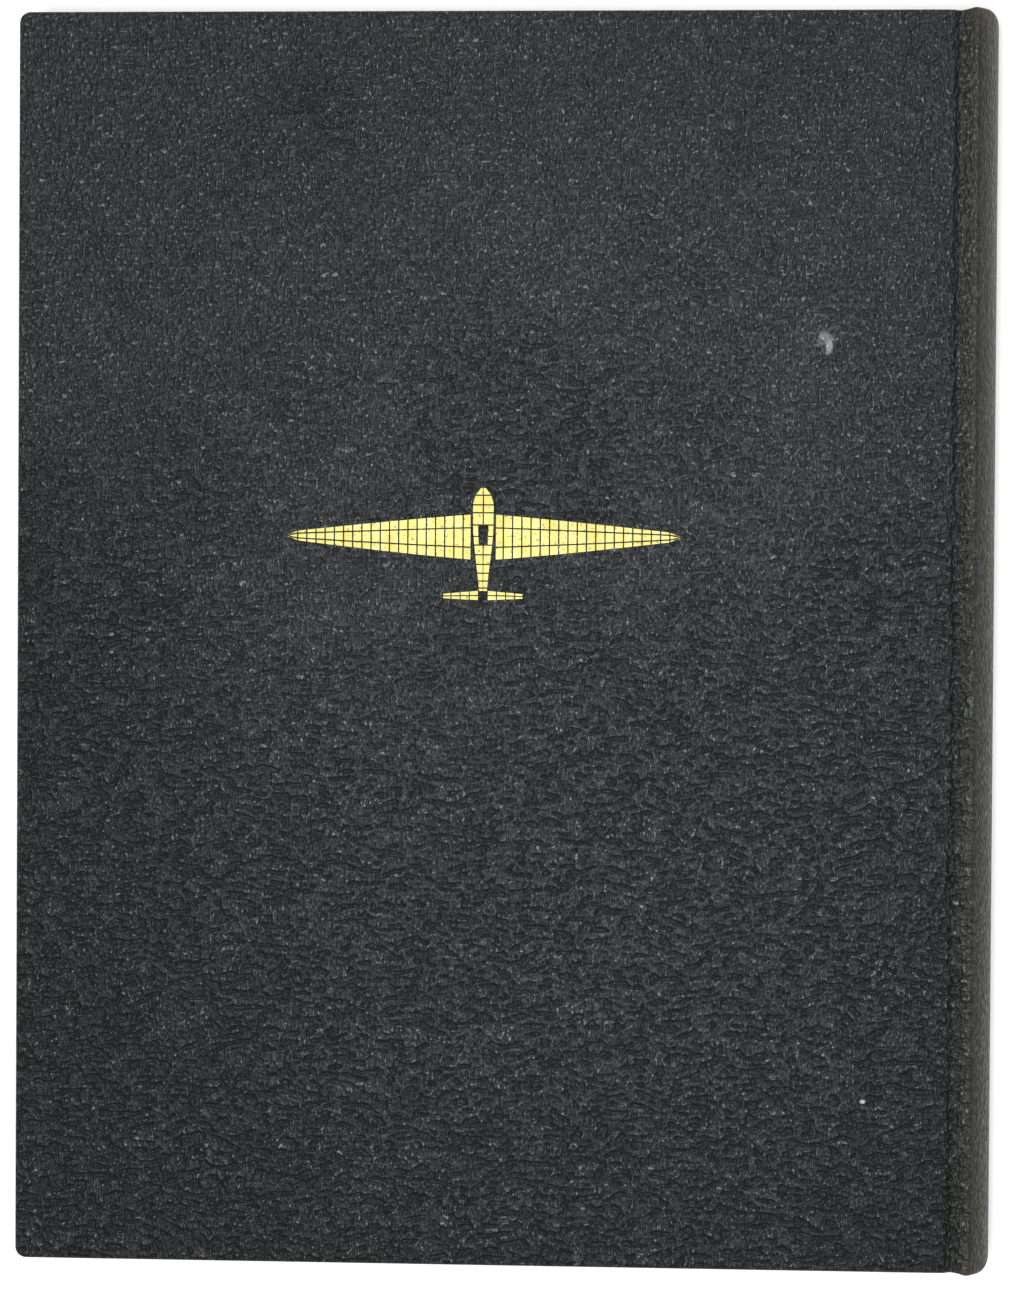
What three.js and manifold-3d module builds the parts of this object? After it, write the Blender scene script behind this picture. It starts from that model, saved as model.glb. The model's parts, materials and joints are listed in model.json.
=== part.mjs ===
// Pilot logbook: a sewn hardback ledger with leatherette covers, a rounded spine and a foil emblem.
// Millimetres, +Z up. The book lies on its lower cover, spine towards +X, head towards +Y.
// Inside this file x is measured from the hinge line (the floor of the groove beside the spine) and z
// from the table. The last lines shift the book so that the origin is under its middle.
import * as THREE from 'three';
import Module from 'manifold-3d';
import { mergeVertices } from 'three/addons/utils/BufferGeometryUtils.js';

const wasm = await Module();
wasm.setup();

// ---- Driving dimensions ----------------------------------------------------------------------

// Leaves and sections
const LEAF_WIDTH = 213.8; // fold to fore-edge
const LEAF_HEIGHT = 279.4; // head to tail
const LEAF_THICKNESS = 0.11;
const LEAVES_PER_SECTION = 16;
const SECTION_COUNT = 9; // odd, so that one section is in the middle
const ENDPAPER_THICKNESS = 0.15;

// Covers
const BOARD_THICKNESS = 3.0;
const CLOTH_THICKNESS = 0.5;
const SQUARE = 3.2; // how far a board stands past the leaves at head, tail and fore-edge
const TURN_IN = 15; // cloth folded over onto the inside of a board
const PASTEDOWN_MARGIN = 3.0; // turn-in left showing round a pastedown
const COVER_CORNER_RADIUS = 1.2;

// Spine and joint
const MIDDLE_FOLD_REACH = 6.4; // fold of the middle section past the hinge line
const SPINE_ROUND = 4.1; // middle fold past the outermost folds
const SHOULDER_CLEARANCE = 0.3; // outermost folds under the cloth on the groove's floor
const SHOULDER_DROP = 0.81; // end of the spine cloth's arc under the cover's face
const BOARD_SETBACK = 2.0; // back edge of a board before the hinge line
const SHOULDER_SETBACK = 0.4; // leaves start to bend this far before the board's back edge
const GROOVE_DEPTH = 1.6;
const CAP_RISE = 0.6; // spine cloth past the covers at head and tail
const TAPE_THICKNESS = 0.2;
const MULL_THICKNESS = 0.2;
const LINER_THICKNESS = 0.2;
const SPINE_TURN_IN_THICKNESS = 0.45;
const INLAY_THICKNESS = 0.8;
const LINING_MARGIN = 2.4; // degrees of the rounded back that the linings leave bare, each way
const INLAY_MARGIN = 3.4;
const CAP_MARGIN = 7.4;

// Sewing, tapes and endbands
const THREAD_DIAMETER = 0.6;
const THREAD_CHANNEL_DIAMETER = 1.2;
const CENTRE_NOTCH_DIAMETER = 0.9;
const THREAD_END_MARGIN = 12; // kettle stitch to head and tail
const TAPE_WIDTH = 12;
const TAPE_FROM_END = 60; // outer tapes' middles from head and tail
const MULL_FROM_END = 10;
const ENDBAND_HEIGHT = 1.7;
const ENDBAND_DEPTH = 1.5;

// Foil emblem
const EMBLEM_FROM_FORE_EDGE = 107.4;
const EMBLEM_FROM_HEAD = 121.8;
const EMBLEM_SPAN = 90;
const EMBLEM_LENGTH = 26.4;
const FOIL_THICKNESS = 0.1;
const FOIL_SINK = 0.05; // foil's face below the cover's, where the stamp pressed it in
const STAMP_MARGIN = 0.3; // pressed leatherette round the foil

// Clearances
const GLUE = 0.05; // between layers that are glued or lie on each other
const SEAM_GAP = 0.1; // between the pieces of the one covering sheet
const TURN_IN_GAP = 0.1; // inside the spine's turned-in ends
const PAPER_STEP = 0.2; // a pastedown to the turn-ins' edges

// ---- Sizes worked out from them ----------------------------------------------------------------

const SECTION_THICKNESS = LEAF_THICKNESS * LEAVES_PER_SECTION;
const TEXT_THICKNESS = SECTION_COUNT * SECTION_THICKNESS + SECTION_COUNT * GLUE;
const CLOTH_TO_BOARD = CLOTH_THICKNESS + GLUE;
const INNER_TURN_IN = CLOTH_TO_BOARD + BOARD_THICKNESS + GLUE;
const PASTEDOWN_DEPTH = INNER_TURN_IN + CLOTH_THICKNESS + GLUE;
const FLYLEAF_DEPTH = PASTEDOWN_DEPTH + ENDPAPER_THICKNESS + GLUE;
const TEXT_DEPTH = FLYLEAF_DEPTH + ENDPAPER_THICKNESS + GLUE;
const BOOK_THICKNESS = 2 * TEXT_DEPTH + TEXT_THICKNESS;
const MIDDLE = BOOK_THICKNESS / 2;

// The folds lie on a circular back whose chord is the block's thickness at the folds.
const HALF_BACK = MIDDLE - GROOVE_DEPTH - CLOTH_THICKNESS - SHOULDER_CLEARANCE;
const BACK_RADIUS = (HALF_BACK ** 2 + SPINE_ROUND ** 2) / (2 * SPINE_ROUND);
const BACK_CENTRE = MIDDLE_FOLD_REACH - BACK_RADIUS;
const SWELL = HALF_BACK / (TEXT_THICKNESS / 2);
const SHOULDER_START = -BOARD_SETBACK - SHOULDER_SETBACK;

// Layers round the back, from the folds outwards
const TAPE_RADIUS = BACK_RADIUS + GLUE;
const MULL_RADIUS = TAPE_RADIUS + TAPE_THICKNESS + GLUE;
const LINER_RADIUS = MULL_RADIUS + MULL_THICKNESS + GLUE;
const SPINE_TURN_IN_RADIUS = LINER_RADIUS + LINER_THICKNESS + TURN_IN_GAP;
const INLAY_RADIUS = SPINE_TURN_IN_RADIUS + SPINE_TURN_IN_THICKNESS + GLUE;
const SPINE_CLOTH_RADIUS = INLAY_RADIUS + INLAY_THICKNESS + GLUE;
const SPINE_BACK = BACK_CENTRE + SPINE_CLOTH_RADIUS + CLOTH_THICKNESS;

// How far each layer reaches round the back, in degrees from its middle
const BACK_HALF_ANGLE = THREE.MathUtils.radToDeg(Math.asin(HALF_BACK / BACK_RADIUS));
const LINING_HALF_ANGLE = BACK_HALF_ANGLE - LINING_MARGIN;
const INLAY_HALF_ANGLE = BACK_HALF_ANGLE - INLAY_MARGIN;
const CAP_HALF_ANGLE = BACK_HALF_ANGLE - CAP_MARGIN;
const CLOTH_ARC_HALF_ANGLE = THREE.MathUtils.radToDeg(
  Math.asin((MIDDLE - SHOULDER_DROP) / (SPINE_CLOTH_RADIUS + CLOTH_THICKNESS / 2)),
);

// Outermost folds, then the covers that stand a square past the leaves
const OUTER_FOLD_REACH = BACK_CENTRE + Math.sqrt(BACK_RADIUS ** 2 - HALF_BACK ** 2);
const BOARD_FORE_EDGE = OUTER_FOLD_REACH - LEAF_WIDTH - SQUARE;
const BOARD_HEIGHT = LEAF_HEIGHT + 2 * SQUARE;
const COVER_FORE_EDGE = BOARD_FORE_EDGE - CLOTH_TO_BOARD;
const COVER_HEIGHT = BOARD_HEIGHT + 2 * CLOTH_TO_BOARD;
const SPINE_HEIGHT = COVER_HEIGHT + 2 * CAP_RISE;

const COLOURS = {
  leatherette: { color: 0x3d4041, roughness: 0.55, metalness: 0 },
  board: { color: 0x8c8578, roughness: 0.9, metalness: 0 },
  endpaper: { color: 0xe9e2cd, roughness: 0.85, metalness: 0 },
  page: { color: 0xf0ebda, roughness: 0.85, metalness: 0 },
  thread: { color: 0xe8e3d2, roughness: 0.8, metalness: 0 },
  tape: { color: 0xd9d0b8, roughness: 0.9, metalness: 0 },
  mull: { color: 0xcfc8b6, roughness: 0.9, metalness: 0 },
  kraft: { color: 0xa98f6b, roughness: 0.9, metalness: 0 },
  endband: { color: 0xb9a352, roughness: 0.8, metalness: 0 },
  foil: { color: 0xe2db8b, roughness: 0.35, metalness: 0.8 },
};

// ---- Shared shapes -------------------------------------------------------------------------------

const book = new THREE.Group();

function addPiece(name, geometry, colour) {
  const piece = new THREE.Mesh(geometry, new THREE.MeshStandardMaterial(COLOURS[colour]));
  piece.name = name;
  book.add(piece);
}

// Height above the table of a depth measured inwards from a cover's outer face.
function heightAt(side, depth) {
  return side === 'lower' ? depth : BOOK_THICKNESS - depth;
}

// A closed outline in x and z, drawn out along y and centred on y = middle.
function alongSpine(points, length, holes = [], middle = 0) {
  const outline = new THREE.Shape(points);
  outline.holes = holes.map((hole) => new THREE.Path(hole));
  const geometry = new THREE.ExtrudeGeometry(outline, { depth: length, bevelEnabled: false });
  geometry.rotateX(Math.PI / 2);
  geometry.translate(0, middle + length / 2, 0);
  return geometry;
}

// A plan outline in x and y, filled between two depths under a cover's outer face.
function coverSlab(side, outline, near, far) {
  const geometry = new THREE.ExtrudeGeometry(outline, {
    depth: far - near,
    bevelEnabled: false,
    curveSegments: 6,
  });
  geometry.translate(0, 0, side === 'lower' ? near : BOOK_THICKNESS - far);
  return geometry;
}

// A cover's plan: square at the back, with rounded corners at the fore-edge.
function coverPlan(foreEdge, backEdge, height, radius) {
  const half = height / 2;
  const plan = new THREE.Shape();
  plan.moveTo(backEdge, -half);
  plan.lineTo(backEdge, half);
  plan.lineTo(foreEdge + radius, half);
  plan.absarc(foreEdge + radius, half - radius, radius, Math.PI / 2, Math.PI, false);
  plan.lineTo(foreEdge, -half + radius);
  plan.absarc(foreEdge + radius, -half + radius, radius, Math.PI, 1.5 * Math.PI, false);
  return plan;
}

function rectanglePlan(left, right, height) {
  return coverPlan(left, right, height, 0);
}

// Points on a circle in x and z, from one angle to another, in degrees from +X towards +Z.
function arcPoints(x, z, radius, from, to, steps) {
  const points = [];
  for (let i = 0; i <= steps; i += 1) {
    const angle = THREE.MathUtils.degToRad(from + ((to - from) * i) / steps);
    points.push(new THREE.Vector2(x + radius * Math.cos(angle), z + radius * Math.sin(angle)));
  }
  return points;
}

// A curved band round the back of the book, between two radii and up to an angle each way.
function backBand(inner, outer, halfAngle, steps) {
  return [
    ...arcPoints(BACK_CENTRE, MIDDLE, outer, -halfAngle, halfAngle, steps),
    ...arcPoints(BACK_CENTRE, MIDDLE, inner, halfAngle, -halfAngle, steps),
  ];
}

// A band of even thickness either side of a line of points.
function ribbon(line, thickness) {
  const sides = [[], []];
  line.forEach((point, i) => {
    const before = line[Math.max(i - 1, 0)];
    const after = line[Math.min(i + 1, line.length - 1)];
    const along = after.clone().sub(before).normalize();
    const across = new THREE.Vector2(-along.y, along.x).multiplyScalar(thickness / 2);
    sides[0].push(point.clone().add(across));
    sides[1].unshift(point.clone().sub(across));
  });
  return [...sides[0], ...sides[1]];
}

function toSolid(geometry) {
  const bare = geometry.clone();
  bare.deleteAttribute('normal');
  bare.deleteAttribute('uv');
  const merged = mergeVertices(bare, 1e-5);
  const vertProperties = new Float32Array(merged.attributes.position.array);
  const triVerts = new Uint32Array(merged.index.array);
  return new wasm.Manifold(new wasm.Mesh({ numProp: 3, vertProperties, triVerts }));
}

function toGeometry(solid) {
  const mesh = solid.getMesh();
  const geometry = new THREE.BufferGeometry();
  geometry.setAttribute('position', new THREE.BufferAttribute(mesh.vertProperties, 3));
  geometry.setIndex(new THREE.BufferAttribute(mesh.triVerts, 1));
  return geometry;
}

// ---- Foil emblem -----------------------------------------------------------------------------------

// A closed outline pushed outwards all round by a distance, with mitred corners.
function offsetOutline(points, distance) {
  return points.map((point, i) => {
    const before = points[(i + points.length - 1) % points.length];
    const after = points[(i + 1) % points.length];
    const into = point.clone().sub(before).normalize();
    const out = after.clone().sub(point).normalize();
    const first = new THREE.Vector2(-into.y, into.x);
    const second = new THREE.Vector2(-out.y, out.x);
    const mitre = first.clone().add(second).divideScalar(1 + first.dot(second));
    return point.clone().addScaledVector(mitre, distance);
  });
}

// A plain light aircraft seen from above, nose towards the head of the book, in book coordinates.
function emblemOutline() {
  const span = EMBLEM_SPAN / 2;
  const nose = EMBLEM_LENGTH / 2;
  const right = new THREE.Path();
  right.moveTo(0, nose);
  right.quadraticCurveTo(2.1, nose - 0.4, 2.3, nose - 5.5); // nose cowl
  right.lineTo(span - 2.2, 3.6); // wing leading edge
  right.quadraticCurveTo(span, 3.2, span, 1.6); // wing tip
  right.quadraticCurveTo(span, 0.4, span - 2.2, 0.2);
  right.lineTo(2.2, -3.4); // wing trailing edge
  right.lineTo(1.1, 3.4 - nose); // rear fuselage
  right.lineTo(8.6, 2.4 - nose); // tailplane leading edge
  right.quadraticCurveTo(9.8, 1.9 - nose, 9.4, 0.9 - nose);
  right.lineTo(1.0, 0.6 - nose); // tailplane trailing edge
  right.lineTo(0, -nose); // tail cone
  const half = right.getPoints(6);
  const mirrored = half
    .slice(1, -1)
    .map((point) => new THREE.Vector2(-point.x, point.y))
    .reverse();
  const place = new THREE.Vector2(
    COVER_FORE_EDGE + EMBLEM_FROM_FORE_EDGE,
    COVER_HEIGHT / 2 - EMBLEM_FROM_HEAD,
  );
  return [...half, ...mirrored].map((point) => point.add(place));
}

function addFoilEmblem() {
  const plan = new THREE.Shape(emblemOutline());
  addPiece('foil_emblem', coverSlab('upper', plan, FOIL_SINK, FOIL_SINK + FOIL_THICKNESS), 'foil');
}

// The hollow that the stamp pressed into the upper cover's leatherette, a little wider than the foil.
function stampedHollow() {
  const past = 1;
  const plan = new THREE.Shape(offsetOutline(emblemOutline(), STAMP_MARGIN));
  return toSolid(coverSlab('upper', plan, -past, FOIL_SINK + FOIL_THICKNESS + GLUE));
}

// ---- Covers --------------------------------------------------------------------------------------

function addBoard(side) {
  const radius = COVER_CORNER_RADIUS - CLOTH_TO_BOARD;
  const plan = coverPlan(BOARD_FORE_EDGE, -BOARD_SETBACK, BOARD_HEIGHT, radius);
  const board = coverSlab(side, plan, CLOTH_TO_BOARD, CLOTH_TO_BOARD + BOARD_THICKNESS);
  addPiece(`${side}_board`, board, 'board');
}

// Cloth over a board, round its three free edges and turned in on the inside.
function addCoverCloth(side) {
  const past = 1; // cuts run on past the open back edge
  const inside = INNER_TURN_IN + CLOTH_THICKNESS;
  const outer = coverPlan(COVER_FORE_EDGE, -BOARD_SETBACK, COVER_HEIGHT, COVER_CORNER_RADIUS);
  const pocket = coverPlan(
    COVER_FORE_EDGE + CLOTH_THICKNESS,
    -BOARD_SETBACK + past,
    COVER_HEIGHT - 2 * CLOTH_THICKNESS,
    COVER_CORNER_RADIUS - CLOTH_THICKNESS,
  );
  const windowLeft = BOARD_FORE_EDGE + TURN_IN;
  const windowHeight = BOARD_HEIGHT - 2 * TURN_IN;
  const window = rectanglePlan(windowLeft, -BOARD_SETBACK + past, windowHeight);
  let cloth = toSolid(coverSlab(side, outer, 0, inside))
    .subtract(toSolid(coverSlab(side, pocket, CLOTH_THICKNESS, INNER_TURN_IN)))
    .subtract(toSolid(coverSlab(side, window, INNER_TURN_IN - past, inside + past)));
  if (side === 'upper') {
    cloth = cloth.subtract(stampedHollow());
  }
  addPiece(`${side}_cover_cloth`, toGeometry(cloth), 'leatherette');
}

// Endpaper pasted inside a cover: over the turn-ins, and down onto the board between them.
function addPastedown(side) {
  const past = 1;
  const back = -BOARD_SETBACK - PAPER_STEP;
  const sheetLeft = BOARD_FORE_EDGE + PASTEDOWN_MARGIN;
  const sheet = rectanglePlan(sheetLeft, back, BOARD_HEIGHT - 2 * PASTEDOWN_MARGIN);
  const windowLeft = BOARD_FORE_EDGE + TURN_IN + PAPER_STEP;
  const windowHeight = BOARD_HEIGHT - 2 * (TURN_IN + PAPER_STEP);
  const well = rectanglePlan(windowLeft, back, windowHeight);
  const inset = ENDPAPER_THICKNESS;
  const hollow = rectanglePlan(windowLeft + inset, back + past, windowHeight - 2 * inset);
  const far = PASTEDOWN_DEPTH + ENDPAPER_THICKNESS;
  const paper = toSolid(coverSlab(side, sheet, PASTEDOWN_DEPTH, far))
    .add(toSolid(coverSlab(side, well, INNER_TURN_IN, far)))
    .subtract(toSolid(coverSlab(side, hollow, INNER_TURN_IN + ENDPAPER_THICKNESS, far + past)));
  addPiece(`${side}_pastedown`, toGeometry(paper), 'endpaper');
}

function addFlyleaf(side) {
  const left = OUTER_FOLD_REACH - LEAF_WIDTH;
  const plan = rectanglePlan(left, SHOULDER_START, LEAF_HEIGHT);
  const leaf = coverSlab(side, plan, FLYLEAF_DEPTH, FLYLEAF_DEPTH + ENDPAPER_THICKNESS);
  addPiece(`${side}_flyleaf`, leaf, 'endpaper');
}

// Cloth from a board's back edge down to the floor of the groove, where the cover hinges.
function addJointCloth(side) {
  const start = -BOARD_SETBACK + SEAM_GAP;
  const high = heightAt(side, CLOTH_THICKNESS / 2);
  const low = heightAt(side, GROOVE_DEPTH + CLOTH_THICKNESS / 2);
  const run = (-SEAM_GAP - start) / 2;
  const curve = new THREE.CubicBezierCurve(
    new THREE.Vector2(start, high),
    new THREE.Vector2(start + run, high),
    new THREE.Vector2(-SEAM_GAP - run, low),
    new THREE.Vector2(-SEAM_GAP, low),
  );
  const band = ribbon(curve.getPoints(10), CLOTH_THICKNESS);
  addPiece(`${side}_joint_cloth`, alongSpine(band, COVER_HEIGHT), 'leatherette');
}

// ---- Text block ----------------------------------------------------------------------------------

// How much the sections fan out at this x: 1 over the flat leaves, SWELL at the folds.
function fanAt(x) {
  return 1 + (SWELL - 1) * THREE.MathUtils.smoothstep(x, SHOULDER_START, foldCentre(SECTION_COUNT - 1).x);
}

function levelOf(index) {
  return (index - (SECTION_COUNT - 1) / 2) * (SECTION_THICKNESS + GLUE);
}

// Centre and radius of a section's rounded fold, which touches the circular back from inside.
function foldCentre(index) {
  const radius = (SECTION_THICKNESS / 2) * SWELL;
  const z = levelOf(index) * SWELL;
  const x = BACK_CENTRE + Math.sqrt((BACK_RADIUS - GLUE - radius) ** 2 - z ** 2);
  return { x, z, radius };
}

// One face of a section, from its fore-edge to its fold, at a level above the block's middle.
function sectionFace(level, foreEdge, foldX) {
  const steps = 8;
  const points = [new THREE.Vector2(foreEdge, MIDDLE + level)];
  for (let i = 0; i <= steps; i += 1) {
    const x = SHOULDER_START + ((foldX - SHOULDER_START) * i) / steps;
    points.push(new THREE.Vector2(x, MIDDLE + level * fanAt(x)));
  }
  return points;
}

function sectionOutline(index) {
  const fold = foldCentre(index);
  const foreEdge = fold.x + fold.radius - LEAF_WIDTH;
  const level = levelOf(index);
  const half = SECTION_THICKNESS / 2;
  return [
    ...sectionFace(level - half, foreEdge, fold.x),
    ...arcPoints(fold.x, MIDDLE + fold.z, fold.radius, -90, 90, 12).slice(1, -1),
    ...sectionFace(level + half, foreEdge, fold.x).reverse(),
  ];
}

function addThread(number, x, z) {
  const length = LEAF_HEIGHT - 2 * THREAD_END_MARGIN;
  const thread = new THREE.CylinderGeometry(THREAD_DIAMETER / 2, THREAD_DIAMETER / 2, length, 10);
  thread.translate(x, 0, z);
  addPiece(`sewing_thread_${number}`, thread, 'thread');
}

// A folded section with the channel inside its fold where the sewing thread runs.
function addSection(index) {
  const fold = foldCentre(index);
  const z = MIDDLE + fold.z;
  const channel = arcPoints(fold.x, z, THREAD_CHANNEL_DIAMETER / 2, 0, 330, 11);
  const section = alongSpine(sectionOutline(index), LEAF_HEIGHT, [channel]);
  addPiece(`section_${index + 1}`, section, 'page');
  addThread(index + 1, fold.x, z);
}

// The middle section opens flat at its centre fold, so it is two halves with a notch for the thread.
function addCentreSection(index) {
  const fold = foldCentre(index);
  const foreEdge = fold.x + fold.radius - LEAF_WIDTH;
  const half = SECTION_THICKNESS / 2;
  const notch = CENTRE_NOTCH_DIAMETER / 2;
  [
    { name: 'centre_section_lower', way: -1 },
    { name: 'centre_section_upper', way: 1 },
  ].forEach(({ name, way }) => {
    const cut = MIDDLE + (way * GLUE) / 2;
    const outline = [
      ...sectionFace(way * half, foreEdge, fold.x),
      ...arcPoints(fold.x, MIDDLE, fold.radius, way * 90, way * 2, 8).slice(1),
      ...arcPoints(fold.x, cut, notch, 0, way * 180, 8),
      new THREE.Vector2(foreEdge, cut),
    ];
    addPiece(name, alongSpine(outline, LEAF_HEIGHT), 'page');
  });
  addThread(index + 1, fold.x, MIDDLE);
}

function addTextBlock() {
  const centre = (SECTION_COUNT - 1) / 2;
  for (let index = 0; index < SECTION_COUNT; index += 1) {
    if (index === centre) {
      addCentreSection(index);
    } else {
      addSection(index);
    }
  }
}

// ---- Back linings, endbands and spine --------------------------------------------------------------

function addTapes() {
  const outerPlace = LEAF_HEIGHT / 2 - TAPE_FROM_END;
  [-outerPlace, 0, outerPlace].forEach((place, i) => {
    const band = backBand(TAPE_RADIUS, TAPE_RADIUS + TAPE_THICKNESS, LINING_HALF_ANGLE, 16);
    addPiece(`tape_${i + 1}`, alongSpine(band, TAPE_WIDTH, [], place), 'tape');
  });
}

function addBackLinings() {
  const mull = backBand(MULL_RADIUS, MULL_RADIUS + MULL_THICKNESS, LINING_HALF_ANGLE, 16);
  addPiece('mull', alongSpine(mull, LEAF_HEIGHT - 2 * MULL_FROM_END), 'mull');
  const liner = backBand(LINER_RADIUS, LINER_RADIUS + LINER_THICKNESS, LINING_HALF_ANGLE, 16);
  addPiece('spine_liner', alongSpine(liner, LEAF_HEIGHT), 'kraft');
}

// Endbands stand on the head and tail of the text block, just inside the back.
function addEndband(name, way) {
  const place = way * (LEAF_HEIGHT / 2 + GLUE + ENDBAND_HEIGHT / 2);
  const band = backBand(BACK_RADIUS - ENDBAND_DEPTH, BACK_RADIUS, LINING_HALF_ANGLE, 16);
  addPiece(name, alongSpine(band, ENDBAND_HEIGHT, [], place), 'endband');
}

function addSpineInlay() {
  const band = backBand(INLAY_RADIUS, INLAY_RADIUS + INLAY_THICKNESS, INLAY_HALF_ANGLE, 20);
  addPiece('spine_inlay', alongSpine(band, BOARD_HEIGHT), 'kraft');
}

// The curl of the spine cloth from the end of its arc over the shoulder to the groove's floor.
function shoulderCurl(way) {
  const pull = 1.3; // length of the curve's handles
  const radius = SPINE_CLOTH_RADIUS + CLOTH_THICKNESS / 2;
  const end = THREE.MathUtils.degToRad(CLOTH_ARC_HALF_ANGLE);
  const along = new THREE.Vector2(-Math.sin(end), Math.cos(end));
  const start = new THREE.Vector2(BACK_CENTRE + radius * Math.cos(end), radius * Math.sin(end));
  const floor = MIDDLE - GROOVE_DEPTH - CLOTH_THICKNESS / 2;
  const curve = new THREE.CubicBezierCurve(
    start,
    start.clone().addScaledVector(along, pull),
    new THREE.Vector2(pull, floor),
    new THREE.Vector2(0, floor),
  );
  return curve.getPoints(12).map((point) => new THREE.Vector2(point.x, MIDDLE + way * point.y));
}

// Cloth of the spine: groove to groove round the back, with its ends turned in at head and tail.
function addSpineCloth() {
  const middleRadius = SPINE_CLOTH_RADIUS + CLOTH_THICKNESS / 2;
  const line = [
    ...shoulderCurl(-1).reverse(),
    ...arcPoints(
      BACK_CENTRE,
      MIDDLE,
      middleRadius,
      -CLOTH_ARC_HALF_ANGLE,
      CLOTH_ARC_HALF_ANGLE,
      24,
    ).slice(1, -1),
    ...shoulderCurl(1),
  ];
  let cloth = toSolid(alongSpine(ribbon(line, CLOTH_THICKNESS), SPINE_HEIGHT));
  const turnIn = backBand(
    SPINE_TURN_IN_RADIUS,
    SPINE_TURN_IN_RADIUS + SPINE_TURN_IN_THICKNESS,
    CAP_HALF_ANGLE,
    20,
  );
  const cap = backBand(SPINE_TURN_IN_RADIUS, middleRadius, CAP_HALF_ANGLE, 20);
  [-1, 1].forEach((way) => {
    const turnInPlace = (way * (SPINE_HEIGHT - TURN_IN)) / 2;
    const capPlace = (way * (SPINE_HEIGHT - CLOTH_THICKNESS)) / 2;
    cloth = cloth
      .add(toSolid(alongSpine(turnIn, TURN_IN, [], turnInPlace)))
      .add(toSolid(alongSpine(cap, CLOTH_THICKNESS, [], capPlace)));
  });
  addPiece('spine_cloth', toGeometry(cloth), 'leatherette');
}

// ---- The book ----------------------------------------------------------------------------------------

['lower', 'upper'].forEach((side) => {
  addBoard(side);
  addCoverCloth(side);
  addJointCloth(side);
  addPastedown(side);
  addFlyleaf(side);
});
addTextBlock();
addTapes();
addBackLinings();
addEndband('head_band', 1);
addEndband('tail_band', -1);
addSpineInlay();
addSpineCloth();
addFoilEmblem();

book.position.x = -(COVER_FORE_EDGE + SPINE_BACK) / 2;

export default book;
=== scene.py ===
"""Looks of a sewn pilot logbook: grained leatherette, rounded spine, foil emblem, ledger paper."""

import json
import math

import bmesh
import bpy
import numpy as np
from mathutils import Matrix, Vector


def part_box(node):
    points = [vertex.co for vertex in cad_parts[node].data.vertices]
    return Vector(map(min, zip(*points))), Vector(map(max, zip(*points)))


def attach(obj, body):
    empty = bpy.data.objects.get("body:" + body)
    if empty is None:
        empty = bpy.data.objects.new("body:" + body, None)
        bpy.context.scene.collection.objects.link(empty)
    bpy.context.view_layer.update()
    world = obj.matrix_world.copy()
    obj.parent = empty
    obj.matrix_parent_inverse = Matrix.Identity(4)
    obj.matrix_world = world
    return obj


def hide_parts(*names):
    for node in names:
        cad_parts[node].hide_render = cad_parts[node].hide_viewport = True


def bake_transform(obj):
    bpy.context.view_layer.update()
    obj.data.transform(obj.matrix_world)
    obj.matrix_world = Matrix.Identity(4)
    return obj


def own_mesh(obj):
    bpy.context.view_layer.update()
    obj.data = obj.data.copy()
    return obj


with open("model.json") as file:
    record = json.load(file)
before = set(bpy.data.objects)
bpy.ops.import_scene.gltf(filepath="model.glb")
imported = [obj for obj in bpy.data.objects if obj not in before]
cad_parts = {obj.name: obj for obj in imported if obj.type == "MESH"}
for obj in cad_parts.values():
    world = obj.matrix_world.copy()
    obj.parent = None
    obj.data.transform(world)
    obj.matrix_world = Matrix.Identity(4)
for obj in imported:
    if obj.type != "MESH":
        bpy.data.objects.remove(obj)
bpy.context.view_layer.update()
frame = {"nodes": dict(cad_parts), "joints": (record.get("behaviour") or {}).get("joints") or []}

# ---- Sizes, in millimetres, taken from the frame -------------------------------------------------

MM = 0.001
JOINTS = {joint["name"]: joint for joint in frame["joints"]}


def box_mm(node):
    """Lowest and highest corner of a CAD node as two arrays in millimetres."""
    low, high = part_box(node)
    return np.array(low) / MM, np.array(high) / MM


COVER_LOW, COVER_HIGH = box_mm("upper_cover_cloth")
SPINE_HIGH = box_mm("spine_cloth")[1]
SECTION_LOW, SECTION_HIGH = box_mm("section_9")
FLYLEAF_LOW = box_mm("upper_flyleaf")[0]
PASTEDOWN_LOW, PASTEDOWN_HIGH = box_mm("upper_pastedown")
EMBLEM_LOW, EMBLEM_HIGH = box_mm("foil_emblem")
BOARD_LOW, BOARD_HIGH = box_mm("upper_board")

TOP = COVER_HIGH[2]
MIDDLE = TOP / 2
HALF_COVER = COVER_HIGH[1]  # half the cover's height, head to tail
COVER_BACK = COVER_HIGH[0]
FORE_EDGE = COVER_LOW[0]
GROOVE = JOINTS["spine_fold"]["pos_m"][0] / MM
MIDDLE_FOLD = JOINTS["book_fold"]["pos_m"][0] / MM
HALF_LEAF = SECTION_HIGH[1]
TURNED_IN = TOP - COVER_LOW[2]  # depth of a cover's inner face under its outer face

CLOTH = 0.5
PAPER = 0.15
TURN_IN = 15.0
SECTIONS = 9
LEAVES = 16  # to a section
SECTION_THICKNESS = 1.76
SECTION_PITCH = 1.81
HALF_TEXT = SECTIONS * SECTION_PITCH / 2
HALF_BACK = SECTION_HIGH[2] - MIDDLE + 0.03
SPINE_ROUND = 4.1  # middle fold past the outermost ones
GROOVE_FLOOR = 1.4  # under the cover's face, where the cloth bridges the groove
BOARD_FALL = 0.35  # the board's rounded back edge, down to where the groove's cloth begins
FALL_LENGTH = 4.5  # how far in from the board's back edge that rounding starts
BACK_RADIUS = (HALF_BACK**2 + SPINE_ROUND**2) / (2 * SPINE_ROUND)
BACK_CENTRE = MIDDLE_FOLD - BACK_RADIUS
SWELL = HALF_BACK / HALF_TEXT
SHOULDER_START = COVER_BACK - 0.4
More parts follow.
